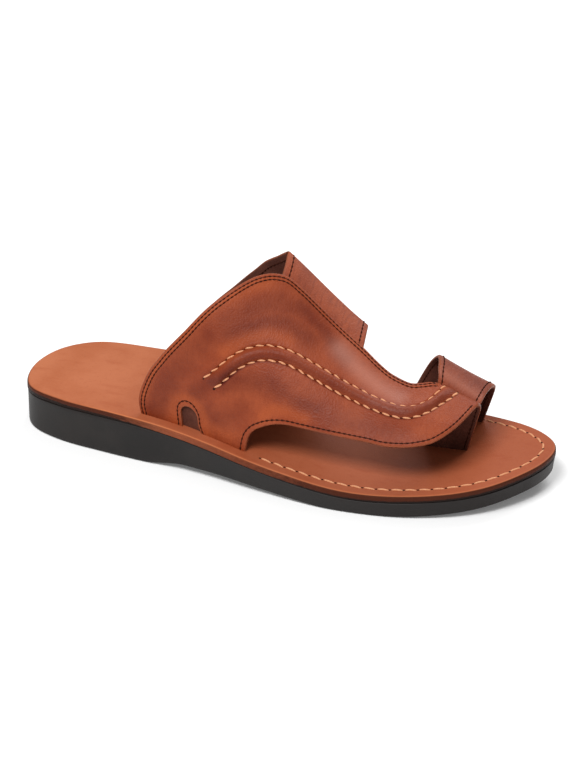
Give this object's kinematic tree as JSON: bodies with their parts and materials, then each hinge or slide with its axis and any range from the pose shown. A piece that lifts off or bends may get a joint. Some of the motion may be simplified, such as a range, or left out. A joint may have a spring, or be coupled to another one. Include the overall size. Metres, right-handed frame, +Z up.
{
  "type": "toe loop sandal",
  "caption": "Right foot slide sandal with a broad crossing instep strap, raised piping, big toe loop and low heeled unit sole.",
  "frame": {"origin": "on the floor, below the middle of the sole's outline", "axes": "+X from heel to toes, +Y to the inner side of the foot, +Z up"},
  "size_m": [0.29, 0.1032, 0.108],
  "materials": {
    "sole_rubber": "satin",
    "footbed_leather": "satin",
    "strap_leather": "satin"
  },
  "bodies": {
    "root": {"outsole": "sole_rubber", "insole": "footbed_leather", "upper": "strap_leather", "toe_loop": "strap_leather"}
  },
  "joints": []
}
